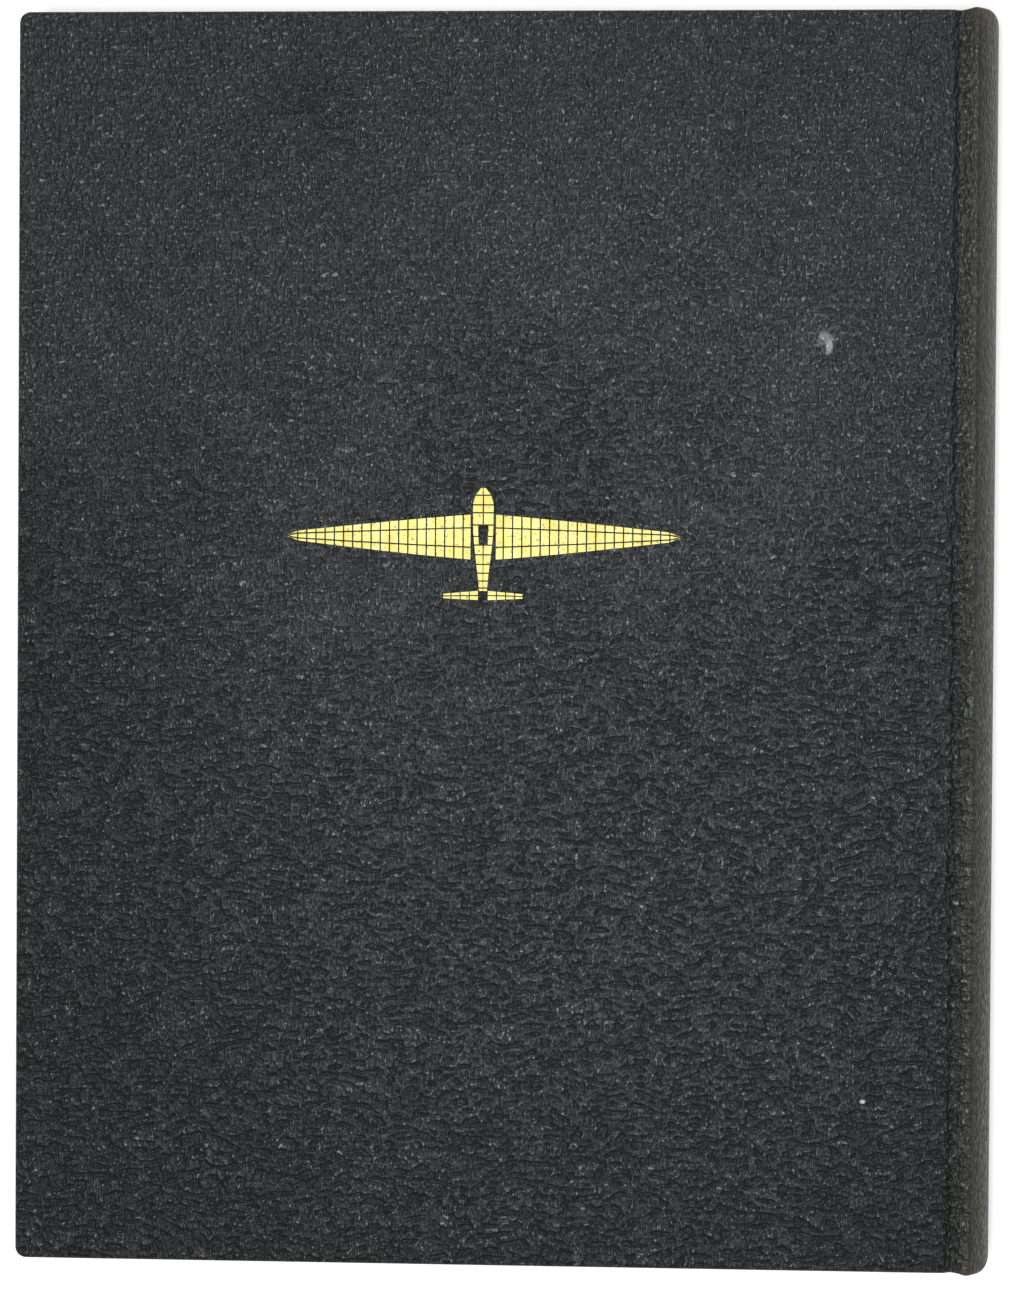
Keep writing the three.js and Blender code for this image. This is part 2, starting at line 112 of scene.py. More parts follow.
SPINE_RADIUS = SPINE_HIGH[0] - BACK_CENTRE
LEAF_WIDTH = SECTION_HIGH[0] - SECTION_LOW[0]

# ---- Small helpers -------------------------------------------------------------------------------


def linear(hex_colour):
    """Scene-linear RGBA of an sRGB hex value such as 0x2B2F30."""
    channels = [((hex_colour >> shift) & 255) / 255 for shift in (16, 8, 0)]
    return [c / 12.92 if c <= 0.04045 else ((c + 0.055) / 1.055) ** 2.4 for c in channels] + [1.0]


def add_node(tree, kind, settings=None, **inputs):
    """Adds a node, sets its attributes, then sets or links its inputs by name or by number (i0, i1)."""
    made = tree.nodes.new(kind)
    for key, value in (settings or {}).items():
        setattr(made, key, value)
    for key, value in inputs.items():
        is_number = key[0] == "i" and key[1:].isdigit()
        socket = made.inputs[int(key[1:])] if is_number else made.inputs[key.replace("_", " ")]
        if isinstance(value, bpy.types.NodeSocket):
            tree.links.new(value, socket)
        else:
            socket.default_value = value
    return made


def new_material(name, roughness, ior=1.5, metallic=0.0):
    """An empty procedural material: its node tree and its Principled shader."""
    material = bpy.data.materials.new(name)
    material.use_nodes = True
    shader = material.node_tree.nodes["Principled BSDF"]
    shader.inputs["Roughness"].default_value = roughness
    shader.inputs["Metallic"].default_value = metallic
    if metallic == 0.0:
        shader.inputs["IOR"].default_value = ior
    return material, material.node_tree, shader


def maths(tree, operation, a, b=0.5, clamp=False):
    """One Math node's output."""
    return add_node(
        tree, "ShaderNodeMath", {"operation": operation, "use_clamp": clamp}, i0=a, i1=b
    ).outputs[0]


def mix_colour(tree, factor, a, b):
    """Colour a where factor is 0, colour b where it is 1."""
    mix = add_node(tree, "ShaderNodeMix", {"data_type": "RGBA"}, i0=factor, i6=a, i7=b)
    return mix.outputs[2]


def ramp(tree, value, low, high, to_low=0.0, to_high=1.0):
    """value taken smoothly from between low and high to between to_low and to_high."""
    return add_node(
        tree,
        "ShaderNodeMapRange",
        {"interpolation_type": "SMOOTHSTEP"},
        Value=value,
        From_Min=low,
        From_Max=high,
        To_Min=to_low,
        To_Max=to_high,
    ).outputs[0]


def object_place(tree, scale=(1, 1, 1), turn=0.0):
    """Object coordinates, stretched and turned about Z."""
    place = add_node(tree, "ShaderNodeTexCoord").outputs["Object"]
    return add_node(
        tree, "ShaderNodeMapping", Vector=place, Scale=scale, Rotation=(0, 0, turn)
    ).outputs[0]


def smooth(x, low, high):
    """0 below low, 1 above high, and a smooth step between them."""
    t = np.clip((x - low) / (high - low), 0, 1)
    return t * t * (3 - 2 * t)


def grid_faces(rows, columns, start=0):
    """Quads of a grid of points numbered row by row."""
    corner = (np.arange(rows - 1)[:, None] * columns + np.arange(columns - 1)).ravel() + start
    return np.stack([corner, corner + 1, corner + columns + 1, corner + columns], 1)


def make_piece(name, grids, material, sharp=42, uv=None, close=False):
    """Joins grids of points, in millimetres, into one closed mesh with merged seams and outward faces.
    With close, flat ends that are still open get one face each."""
    points, faces, start = [], [], 0
    for grid in grids:
        rows, columns = grid.shape[:2]
        points.append(grid.reshape(-1, 3))
        faces.append(grid_faces(rows, columns, start))
        start += rows * columns
    points, faces = np.concatenate(points) * MM, np.concatenate(faces)
    mesh = bpy.data.meshes.new(name)
    mesh.from_pydata(points, [], faces)
    if uv is not None:
        layer = mesh.uv_layers.new(name="UVMap")
        at_corner = np.concatenate([u.reshape(-1, 2) for u in uv])[faces.ravel()]
        layer.data.foreach_set("uv", at_corner.astype(np.float32).ravel())
    work = bmesh.new()
    work.from_mesh(mesh)
    bmesh.ops.remove_doubles(work, verts=work.verts, dist=2e-6)
    bmesh.ops.dissolve_degenerate(work, edges=work.edges, dist=1e-7)
    if close:
        bmesh.ops.holes_fill(work, edges=[edge for edge in work.edges if edge.is_boundary], sides=0)
    bmesh.ops.recalc_face_normals(work, faces=work.faces)
    work.to_mesh(mesh)
    work.free()
    mesh.polygons.foreach_set("use_smooth", np.ones(len(mesh.polygons), bool))
    mesh.set_sharp_from_angle(angle=math.radians(sharp))
    mesh.materials.append(material)
    piece = bpy.data.objects.new(name, mesh)
    bpy.context.scene.collection.objects.link(piece)
    return piece


def grid_normals(grid):
    """Unit normals of a grid of points: the cross product of its two directions."""
    across = np.cross(np.gradient(grid, axis=0), np.gradient(grid, axis=1))
    return across / np.maximum(np.linalg.norm(across, axis=2, keepdims=True), 1e-12)


def thick_sheet(outer, thickness):
    """Grids of a closed sheet: the outer face, the face a thickness behind it, and the four rims."""
    inner = outer - grid_normals(outer) * thickness
    rims = [
        np.stack([outer[0], inner[0]]),
        np.stack([outer[-1], inner[-1]]),
        np.stack([outer[:, 0], inner[:, 0]]),
        np.stack([outer[:, -1], inner[:, -1]]),
    ]
    return [outer, inner, *rims]


def points_of(x, y, z):
    """Stacks three arrays of one shape into points."""
    return np.stack(np.broadcast_arrays(x, y, z), -1).astype(float)


def on_side(grids, side):
    """Grids made for the upper cover, mirrored in the middle of the book for the lower one."""
    if side == "upper":
        return grids
    return [grid * [1, 1, -1] + [0, 0, TOP] for grid in grids]


def arc(start, end, steps):
    """Angles from start to end, in degrees, as radians."""
    return np.radians(np.linspace(start, end, steps))


def bezier(p0, p1, p2, p3, steps):
    """Points of a cubic curve with those four handles."""
    t = np.linspace(0, 1, steps)[:, None]
    p0, p1, p2, p3 = (np.array(p, float) for p in (p0, p1, p2, p3))
    return (1 - t) ** 3 * p0 + 3 * (1 - t) ** 2 * t * p1 + 3 * (1 - t) * t**2 * p2 + t**3 * p3


GRAIN_DEPTH = 0.00044  # pebble tops over crease floors, in metres

# ---- Materials -----------------------------------------------------------------------------------


def mark(tree, centre, radii, edge):
    """1 inside an ellipsoid round a point of the cover, in millimetres, fading to 0 over its edge."""
    place = add_node(tree, "ShaderNodeTexCoord").outputs["Object"]
    shift = add_node(
        tree,
        "ShaderNodeVectorMath",
        {"operation": "SUBTRACT"},
        i0=place,
        i1=[c * MM for c in centre],
    ).outputs[0]
    scaled = add_node(
        tree,
        "ShaderNodeVectorMath",
        {"operation": "MULTIPLY"},
        i0=shift,
        i1=[1 / (r * MM) for r in radii],
    ).outputs[0]
    far = add_node(tree, "ShaderNodeVectorMath", {"operation": "LENGTH"}, i0=scaled).outputs[1]
    return ramp(tree, far, 1.0, 1.0 - edge)


def leathercloth():
    """Vinyl-coated book cloth embossed with a leather grain: soft sheen on the pebbles, dark creases. The
    colour holds painted shade in the creases and seams, painted highlights on the flecks and a painted
    sheen in the middle of the cover.
    """
    material, tree, shader = new_material("embossed_leathercloth", roughness=0.5, ior=1.42)
    # the grain wanders by about a millimetre over each centimetre
    drift = add_node(
        tree, "ShaderNodeTexNoise", Vector=object_place(tree), Scale=75.0, Detail=3.0
    ).outputs["Color"]
    centred = add_node(
        tree, "ShaderNodeVectorMath", {"operation": "SUBTRACT"}, i0=drift, i1=(0.5, 0.5, 0.5)
    ).outputs[0]
    wander = add_node(
        tree, "ShaderNodeVectorMath", {"operation": "SCALE"}, i0=centred, Scale=0.006
    ).outputs[0]

    def drifting(scale, turn):
        """The place on the cloth, moved about by the wandering grain."""
        still = object_place(tree, scale, turn)
        return add_node(
            tree, "ShaderNodeVectorMath", {"operation": "ADD"}, i0=still, i1=wander
        ).outputs[0]

    # coarse grain towards the tail, fine towards the head, in patches some centimetres wide
    place = add_node(tree, "ShaderNodeTexCoord").outputs["Object"]
    up = add_node(tree, "ShaderNodeSeparateXYZ", Vector=place).outputs[1]
    patches = add_node(
        tree, "ShaderNodeTexNoise", Vector=object_place(tree), Scale=22.0, Detail=2.0
    ).outputs[0]
    patchy = maths(tree, "MULTIPLY", patches, 0.32)
    towards_tail = ramp(tree, maths(tree, "SUBTRACT", patchy, up), 0.02, 0.24)
    # pebbles about 1.6 mm across, in domes that meet in creases
    pebble_place = drifting((0.95, 1.1, 1.0), 0.0)
    pebble = add_node(
        tree, "ShaderNodeTexVoronoi", {"feature": "F1"}, Vector=pebble_place, Scale=600.0, Randomness=0.85
    ).outputs["Distance"]
    dome = ramp(tree, pebble, 0.62, 0.08)
    between = add_node(
        tree,
        "ShaderNodeTexVoronoi",
        {"feature": "DISTANCE_TO_EDGE"},
        Vector=pebble_place,
        Scale=600.0,
        Randomness=0.85,
    ).outputs["Distance"]
    seam = ramp(tree, between, 0.0, 0.16)
    # creases between rows of pebbles, 1.5 by 3 mm, mostly level
    fold = add_node(
        tree,
        "ShaderNodeTexNoise",
        Vector=drifting((0.5, 1.1, 1.0), math.radians(6)),
        Scale=720.0,
        Detail=0.0,
    ).outputs[0]
    crease = ramp(tree, fold, 0.3, 0.52)
    crease_depth = ramp(tree, towards_tail, 0.0, 1.0, 0.4, 1.25)
    # upright flecks, 0.5 by 1.1 mm, on every pebble
    fleck = add_node(
        tree, "ShaderNodeTexNoise", Vector=object_place(tree, (1.0, 0.5, 1.0)), Scale=1500.0, Detail=0.0
    ).outputs[0]
    speck = ramp(tree, fleck, 0.34, 0.64)
    tops = maths(tree, "ADD", maths(tree, "MULTIPLY", dome, 0.6), maths(tree, "MULTIPLY", speck, 0.62))
    seamed = maths(tree, "ADD", tops, maths(tree, "MULTIPLY", seam, 0.2))
    grain = maths(tree, "ADD", seamed, maths(tree, "MULTIPLY", crease, crease_depth))
    stretched = add_node(tree, "ShaderNodeAttribute", {"attribute_name": "stretched"}).outputs["Fac"]
    pressed = maths(tree, "MULTIPLY", grain, ramp(tree, towards_tail, 0.0, 1.0, 0.75, 1.0))
    height = maths(tree, "MULTIPLY", pressed, ramp(tree, stretched, 0.0, 1.0, 1.0, 0.5))
    bump = add_node(
        tree, "ShaderNodeBump", Strength=1.0, Distance=GRAIN_DEPTH, Height=height
    ).outputs[0]
    tree.links.new(bump, shader.inputs["Normal"])
    # colour: black with a cold cast; painted shade darkens the creases and the seams between the pebbles,
    # and painted highlights make the flecks paler
    floor_tone = maths(tree, "SUBTRACT", 1.0, maths(tree, "MULTIPLY", crease_depth, 0.65))
    crease_painted_shade = maths(tree, "MAXIMUM", crease, floor_tone)
    crease_and_seam_shade = maths(tree, "MULTIPLY", crease_painted_shade, ramp(tree, seam, 0.0, 1.0, 0.35, 1.0))
    shade_and_fleck_highlight = maths(tree, "MULTIPLY", crease_and_seam_shade, ramp(tree, speck, 0.0, 1.0, 0.25, 1.0))
    # on stretched spine cloth the painted shade and highlights are evened out towards one tone
    even = maths(tree, "MULTIPLY", stretched, 0.35)
    painted_grain_shading = add_node(
        tree, "ShaderNodeMix", {"data_type": "FLOAT"}, i0=even, i2=shade_and_fleck_highlight, i3=0.36
    ).outputs[0]
    # painted sheen: the grain's colour is paler in the middle of the cover and darker towards its edges
    painted_sheen_mask = mark(tree, (22.0, -14.0, TOP), (165.0, 205.0, 400.0), 1.0)
    sheen_painted_tone = maths(tree, "MULTIPLY", painted_grain_shading, ramp(tree, painted_sheen_mask, 0.0, 1.0, 0.5, 1.55))
    grained = mix_colour(tree, sheen_painted_tone, linear(0x07090A), linear(0x2E3334))
    worn = add_node(tree, "ShaderNodeAttribute", {"attribute_name": "worn"}).outputs["Fac"]
    faded = mix_colour(tree, maths(tree, "MULTIPLY", worn, 0.75), grained, linear(0x38331C))
    scuff_break = add_node(
        tree, "ShaderNodeTexNoise", Vector=object_place(tree, (1, 1.6, 1)), Scale=420.0, Detail=2.0
    ).outputs[0]
    scuff = maths(
        tree,
        "MULTIPLY",
        mark(tree, (71.5, 69.0, TOP), (5.0, 2.4, 5), 0.8),
        ramp(tree, scuff_break, 0.45, 0.58),
    )
    streak = mark(tree, (73.6, 67.4, TOP), (1.1, 2.6, 5), 0.6)
    streaked = maths(tree, "MULTIPLY", streak, 0.8)
    scuff = maths(tree, "MAXIMUM", maths(tree, "MULTIPLY", scuff, 0.6), streaked)
    scuffed = mix_colour(tree, scuff, faded, linear(0x8A9092))
    nick = mark(tree, (82.5, -104.5, TOP), (0.75, 0.55, 3), 0.4)
    tree.links.new(
        mix_colour(tree, nick, scuffed, linear(0xA9ACA8)), shader.inputs["Base Color"]
    )
    gloss = ramp(tree, painted_grain_shading, 0.0, 1.0, 0.62, 0.38)
    tree.links.new(gloss, shader.inputs["Roughness"])
    return material


def stamping_foil():
    """Pale gold stamping foil: a metal film on leathercloth, satin, with fine pits from the grain."""
    material, tree, shader = new_material("pale_gold_stamping_foil", roughness=0.55, metallic=0.25)
    grain = add_node(
        tree, "ShaderNodeTexNoise", Vector=object_place(tree), Scale=1500.0, Detail=3.0
    ).outputs[0]
    broad = add_node(
        tree, "ShaderNodeTexNoise", Vector=object_place(tree), Scale=260.0, Detail=2.0
    ).outputs[0]
    tone = mix_colour(tree, ramp(tree, broad, 0.35, 0.7), linear(0xC2B45E), linear(0xDACD7A))
    pitted = mix_colour(tree, ramp(tree, grain, 0.4, 0.33), tone, linear(0x7E7238))
    tree.links.new(pitted, shader.inputs["Base Color"])
    bump = add_node(tree, "ShaderNodeBump", Strength=0.5, Distance=0.00006, Height=grain).outputs[0]
    tree.links.new(bump, shader.inputs["Normal"])
    return material


def paper(name, light, dark, scale, bump_depth):
    """Uncoated paper: matt, faintly mottled, with a fine tooth."""
    material, tree, shader = new_material(name, roughness=0.86, ior=1.45)
    mottle = add_node(
        tree, "ShaderNodeTexNoise", Vector=object_place(tree), Scale=scale, Detail=4.0
    ).outputs[0]
    colour = mix_colour(tree, ramp(tree, mottle, 0.3, 0.72), linear(dark), linear(light))
    tree.links.new(colour, shader.inputs["Base Color"])
    tooth = add_node(
        tree, "ShaderNodeTexNoise", Vector=object_place(tree), Scale=2600.0, Detail=2.0
    ).outputs[0]
    bump = add_node(
        tree, "ShaderNodeBump", Strength=0.4, Distance=bump_depth, Height=tooth
    ).outputs[0]
    tree.links.new(bump, shader.inputs["Normal"])
    return material, tree, shader, colour


def line_mask(tree, value, spacing, width):
    """1 on lines of a width that repeat at a spacing, both in the value's own units."""
    place = maths(tree, "FLOORED_MODULO", value, spacing)
    return maths(tree, "LESS_THAN", place, width)


def leaf_edges():
    """Cut edges of the leaves: cream, with darker and paler leaves and a little dust."""
    material, tree, shader, colour = paper("cut_leaf_edges", 0xE6DEC6, 0xD6CCB0, 120.0, 0.00003)
    level = add_node(tree, "ShaderNodeUVMap", {"uv_map": "UVMap"}).outputs[0]
    parts = add_node(tree, "ShaderNodeSeparateXYZ", Vector=level).outputs
    leaf = add_node(
        tree,
        "ShaderNodeTexWhiteNoise",
        {"noise_dimensions": "1D"},
        W=maths(tree, "FLOOR", parts[1]),
    ).outputs[0]
    shade = mix_colour(tree, maths(tree, "MULTIPLY", leaf, 0.4), colour, linear(0xC2B595))
    tree.links.new(shade, shader.inputs["Base Color"])
    return material


def ruled_paper():
    """Ledger paper printed with pale blue rows and red-brown column lines, 8 mm rows."""
    material, tree, shader, colour = paper("ruled_ledger_paper", 0xE3DCC6, 0xDDD5BC, 60.0, 0.00003)
    place = add_node(tree, "ShaderNodeTexCoord").outputs["Object"]
    x, y = add_node(tree, "ShaderNodeSeparateXYZ", Vector=place).outputs[:2]
    rows = line_mask(tree, y, 8 * MM, 0.3 * MM)
    columns = line_mask(tree, x, 23 * MM, 0.4 * MM)
    narrow = line_mask(tree, maths(tree, "ADD", x, 9 * MM), 69 * MM, 0.4 * MM)
    in_table = maths(tree, "LESS_THAN", maths(tree, "ABSOLUTE", y), (HALF_LEAF - 14) * MM)
    ruled = mix_colour(
        tree, maths(tree, "MULTIPLY", rows, in_table), colour, linear(0x9FB6C6)
    )
    both = maths(tree, "MAXIMUM", columns, narrow)
    tree.links.new(
        mix_colour(tree, maths(tree, "MULTIPLY", both, in_table), ruled, linear(0xB98372)),
        shader.inputs["Base Color"],
    )
    return material


def woven(name, colour, dark, pitch):
    """Plain-woven linen: over and under threads at a pitch in millimetres."""
    material, tree, shader = new_material(name, roughness=0.9, ior=1.45)
    place = add_node(tree, "ShaderNodeTexCoord").outputs["Object"]
    parts = add_node(tree, "ShaderNodeSeparateXYZ", Vector=place).outputs
    turn = 2 * math.pi / (pitch * MM)
    warp = maths(tree, "SINE", maths(tree, "MULTIPLY", parts[1], turn))
    weft = maths(tree, "SINE", maths(tree, "MULTIPLY", parts[2], turn))
    weave = ramp(tree, maths(tree, "MULTIPLY", warp, weft), -1.0, 1.0)
    tree.links.new(mix_colour(tree, weave, linear(dark), linear(colour)), shader.inputs["Base Color"])
    bump = add_node(tree, "ShaderNodeBump", Strength=0.7, Distance=0.0001, Height=weave).outputs[0]
    tree.links.new(bump, shader.inputs["Normal"])
    return material


def stitched_band():
    """Endband wound in silk: gold and black stripes, each about 1.3 mm, along its length."""
    material, tree, shader = new_material("striped_silk_endband", roughness=0.55, ior=1.5)
    along = add_node(tree, "ShaderNodeUVMap", {"uv_map": "UVMap"}).outputs[0]
    parts = add_node(tree, "ShaderNodeSeparateXYZ", Vector=along).outputs
    stripe = line_mask(tree, parts[0], 2.6, 1.3)
    thread = maths(tree, "SINE", maths(tree, "MULTIPLY", parts[0], 2 * math.pi / 0.43))
    colour = mix_colour(tree, stripe, linear(0x26231F), linear(0xC2A44E))
    tree.links.new(colour, shader.inputs["Base Color"])
    bump = add_node(tree, "ShaderNodeBump", Strength=0.8, Distance=0.00008, Height=thread).outputs[0]
    tree.links.new(bump, shader.inputs["Normal"])
    return material


def pressed_board(name, light, dark):
    """Grey-brown pressed board or kraft card: matt, with short fibres."""
    material, tree, shader = new_material(name, roughness=0.92, ior=1.45)
    fibres = add_node(
        tree,
        "ShaderNodeTexNoise",
        Vector=object_place(tree, (1, 0.25, 1)),
        Scale=1400.0,
        Detail=5.0,
        Roughness=0.7,
    ).outputs[0]
    colour = mix_colour(tree, ramp(tree, fibres, 0.3, 0.7), linear(dark), linear(light))
    tree.links.new(colour, shader.inputs["Base Color"])
    bump = add_node(tree, "ShaderNodeBump", Strength=0.5, Distance=0.00005, Height=fibres).outputs[0]
    tree.links.new(bump, shader.inputs["Normal"])
    return material


def linen_thread():
    """Waxed linen thread: two plies twisted at 0.9 mm to the turn."""
    material, tree, shader = new_material("waxed_linen_thread", roughness=0.6, ior=1.48)
    place = add_node(tree, "ShaderNodeTexCoord").outputs["Object"]
    parts = add_node(tree, "ShaderNodeSeparateXYZ", Vector=place).outputs
    across = maths(tree, "ADD", parts[0], parts[2])
    lay = maths(tree, "ADD", maths(tree, "MULTIPLY", across, 2.0), parts[1])
    ply = maths(tree, "SINE", maths(tree, "MULTIPLY", lay, 2 * math.pi / (0.9 * MM)))
    colour = mix_colour(tree, ramp(tree, ply, -1.0, 1.0), linear(0xBDB394), linear(0xEFE8D3))
    tree.links.new(colour, shader.inputs["Base Color"])
    bump = add_node(tree, "ShaderNodeBump", Strength=0.6, Distance=0.0001, Height=ply).outputs[0]
    tree.links.new(bump, shader.inputs["Normal"])
    return material


LEATHERCLOTH = leathercloth()
FOIL = stamping_foil()
LEAF_EDGES = leaf_edges()
ENDPAPER = paper("cream_endpaper", 0xDFD5BA, 0xDACFB2, 45.0, 0.00004)[0]
RULED = ruled_paper()
THREAD = linen_thread()
MULL = woven("glued_mull", 0xD9CFB4, 0x8F8468, 0.8)
ENDBAND = stitched_band()
BINDERS_BOARD = pressed_board("pressed_grey_board", 0x9A9182, 0x6F675B)
KRAFT = pressed_board("kraft_card", 0xB59A74, 0x8D7350)

# ---- Covers --------------------------------------------------------------------------------------

EMBLEM_X = (EMBLEM_LOW[0] + EMBLEM_HIGH[0]) / 2
EMBLEM_Y = (EMBLEM_LOW[1] + EMBLEM_HIGH[1]) / 2
HALF_SPAN = (EMBLEM_HIGH[0] - EMBLEM_LOW[0]) / 2
NOSE = (EMBLEM_HIGH[1] - EMBLEM_LOW[1]) / 2
STAMP_DEPTH = 0.16


def leading_edge(share):
    """Height of the wing's front edge above the emblem's middle, by share of the span."""
    return 7.3 - 4.3 * share**1.15


def trailing_edge(share):
    """Height of the wing's rear edge, which sweeps forward to the tip."""
    return -3.6 + 4.6 * share**1.2


def body_half_width(y):
    """Half the fuselage's width: a blunt cowl, widest at the wing, tapering to the tail cone."""
    nose = np.sqrt(np.clip((NOSE - y) / 3.2, 0, 1))
    tail = smooth(y, -NOSE - 1.0, 6.0)
    return 2.35 * nose * (0.32 + 0.68 * tail)


def stamped(x, y):
    """1 where the stamp pressed the cover, round the aircraft's outline, 0 outside it."""
    across, up = np.abs(x - EMBLEM_X), y - EMBLEM_Y
    share = np.clip(across / HALF_SPAN, 0, 1)
    margin = 0.5
    wing = np.minimum(leading_edge(share) + margin - up, up - trailing_edge(share) + margin)
    wing = np.minimum(wing, HALF_SPAN + margin - across)
    body = np.minimum(body_half_width(up) + margin - across, NOSE + margin - np.abs(up))
    tail = np.minimum(9.4 + margin - across, 1.1 + margin - np.abs(up + NOSE - 1.7))
    return smooth(np.maximum(np.maximum(wing, body), tail), -0.3, 0.5)


def cover_relief(x, y, stamped_side):
    """How far the cloth stands off its flat face: soft swells of the board, the fall to the groove, and,
    on the stamped side, the stamp's hollow."""
    fall = BOARD_FALL * np.clip((x - COVER_BACK + FALL_LENGTH) / FALL_LENGTH, 0, 1) ** 2
    if not stamped_side:
        return -fall
    swell = 0.05 * np.sin(x / 17.0 + 0.8 * np.sin(y / 29.0)) * np.sin(y / 23.0 + 0.6)
    swell += 0.03 * np.sin(x / 7.3 + y / 9.1) * np.sin(y / 6.1 - x / 19.0 + 1.0)
    fade = smooth(COVER_BACK - x, 0.0, 12.0) * smooth(x - FORE_EDGE, 2.0, 12.0)
    fade = fade * smooth(HALF_COVER - np.abs(y), 2.0, 12.0)
    past_emblem = np.maximum(np.abs(x - EMBLEM_X) - HALF_SPAN, np.abs(y - EMBLEM_Y) - NOSE)
    fade = fade * smooth(past_emblem, 2.0, 14.0)
    return (swell - 0.08) * fade - STAMP_DEPTH * stamped(x, y) - fall


def spaced(low, high, step, fine_low, fine_high, fine_step):
    """Places from low to high, closer together between fine_low and fine_high."""
    parts = [
        np.linspace(low, fine_low, max(2, round((fine_low - low) / step)))[:-1],
        np.linspace(fine_low, fine_high, round((fine_high - fine_low) / fine_step))[:-1],
        np.linspace(fine_high, high, max(2, round((high - fine_high) / step))),
    ]
    return np.concatenate(parts)


def cover_cloth(side):
    """The cloth of one cover. A flat field of points under a swelling relief; from its border a section
    runs out over the rounded board edge, down, under, and in to the mitred turn-in."""
    fine = side == "upper"
    border = 2.5  # the field's edge inside the cover's edge
    x = spaced(
        FORE_EDGE + border, COVER_BACK, 2.0 if fine else 4.0,
        EMBLEM_LOW[0] - 1, EMBLEM_HIGH[0] + 1, 0.6 if fine else 4.0,
    )
    y = spaced(
        -HALF_COVER + border, HALF_COVER - border, 2.0 if fine else 4.0,
        EMBLEM_LOW[1] - 1, EMBLEM_HIGH[1] + 1, 0.6 if fine else 4.0,
    )
    field_x, field_y = np.meshgrid(x, y)
    lift = cover_relief(field_x, field_y, fine)
    field = points_of(field_x, field_y, TOP + lift)
    # the border's path: tail side, corner, fore-edge, corner, head side, with the way out at each point
    left, end = x[0], y[-1]
    turn = arc(0, 90, 7)
    path = np.concatenate([
        np.stack([x[::-1], np.full_like(x, -end)], 1),
        np.tile([left, -end], (7, 1)),
        np.stack([np.full_like(y, left), y], 1),
        np.tile([left, end], (7, 1)),
        np.stack([x, np.full_like(x, end)], 1),
    ])
    way = np.concatenate([
        np.tile([0.0, -1.0], (len(x), 1)),
        np.stack([-np.sin(turn), -np.cos(turn)], 1),
        np.tile([-1.0, 0.0], (len(y), 1)),
        np.stack([-np.cos(turn), np.sin(turn)], 1),
        np.tile([0.0, 1.0], (len(x), 1)),
    ])
    edge, foot = 0.75, 0.45  # radii of the cloth over the board's outer and inner edge
    bend, under = arc(90, 0, 6), arc(0, -90, 5)
    out = np.concatenate([
        [0.0, border - edge - 0.6],
        border - edge + edge * np.cos(bend),
        border - foot + foot * np.cos(under),
        [0.0],
    ])
    depth = np.concatenate([
        [0.0, 0.0],
        edge - edge * np.sin(bend),
        TURNED_IN - foot - foot * np.sin(under),
        [TURNED_IN],
    ])
    wrap_xy = path[:, None, :] + way[:, None, :] * out[None, :, None]
    fall = -cover_relief(path[:, :1], path[:, 1:], False) * smooth(-depth, -TURNED_IN * 0.5, 0.0)
    wrap = np.concatenate([wrap_xy, (TOP - depth - fall)[..., None]], 2)
    # mitred turn-in: the border's path drawn in to the window's outline
    inset = TURN_IN - border
    window = np.stack([
        np.maximum(path[:, 0], left + inset),
        np.clip(path[:, 1], -end + inset, end - inset),
    ], 1)
    inside, board_face = TOP - TURNED_IN, TOP - TURNED_IN + CLOTH
    wall = path + way * (border - CLOTH)
    lines = (path, window, window, wall, wall, path)
    thin = CLOTH + 0.02 if fine else CLOTH
    behind = points_of(
        np.stack([line[:, 0] for line in lines], 1),
        np.stack([line[:, 1] for line in lines], 1),
        np.array([inside, inside, board_face, board_face, 0.0, 0.0]),
    )
    behind[:, 4:, 2] = (TOP - thin + cover_relief(path[:, 0], path[:, 1], False))[:, None]
    inner = points_of(field_x, field_y, TOP - thin + cover_relief(field_x, field_y, False))
    grids = [field, wrap, behind, inner]
    piece = make_piece(f"{side}_cover_leathercloth", on_side(grids, side), LEATHERCLOTH, close=True)
    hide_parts(f"{side}_cover_cloth")
    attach(piece, "upper_cover" if side == "upper" else "lower_half")


def spine_end(x):
    """Half the spine's height by place across it: level with the covers at the groove, a little proud
    over the shoulder, and rounded off towards the back."""
    proud = HALF_COVER + (SPINE_HIGH[1] - HALF_COVER) * smooth(x, GROOVE + 0.2, GROOVE + 3.0)
    corner = 2.6
    past = np.clip((x - (SPINE_HIGH[0] - corner)) / corner, 0, 0.985)
    return proud - corner * (1 - np.sqrt(1 - past**2))


def rolled_rows(half, radius, turn_in, inner):
    """Rows up the spine: straight, round the end over a radius, and back inside. Gives each row's share
    of the half height, its distance back from the end, and its distance in from the outer face."""
    bend = arc(0, 90, 7)
    straight = np.linspace(0, 1, half)
    share = np.concatenate([straight, np.ones(len(bend) - 1), np.ones(2)])
    back = np.concatenate([radius * straight**8, radius * (1 - np.sin(bend[1:])), [0.0, turn_in]])
    back[: len(straight)] = radius
    inset = np.concatenate([np.zeros(len(straight)), radius * (1 - np.cos(bend[1:])), [inner, inner]])
    mirrored = [share[::-1] * -1, -back[::-1], inset[::-1]]
    return [np.concatenate([m[:-1], s]) for m, s in zip(mirrored, (share, back, inset))]


def swept(profile, ends, rows, inset_scale):
    """A profile in x and z, swept along y between rounded ends. Each row is the profile moved in along
    its own normal; ends gives each profile point's half height."""
    along = np.gradient(profile, axis=0)
    along /= np.linalg.norm(along, axis=1, keepdims=True)
    inwards = np.stack([-along[:, 1], along[:, 0]], 1)
    share, back, inset = rows
    moved = profile[None] + inwards[None] * inset[:, None, None] * inset_scale[None, :, None]
    y = share[:, None] * ends[None, :] - back[:, None]
    return points_of(moved[..., 0], y, moved[..., 1])


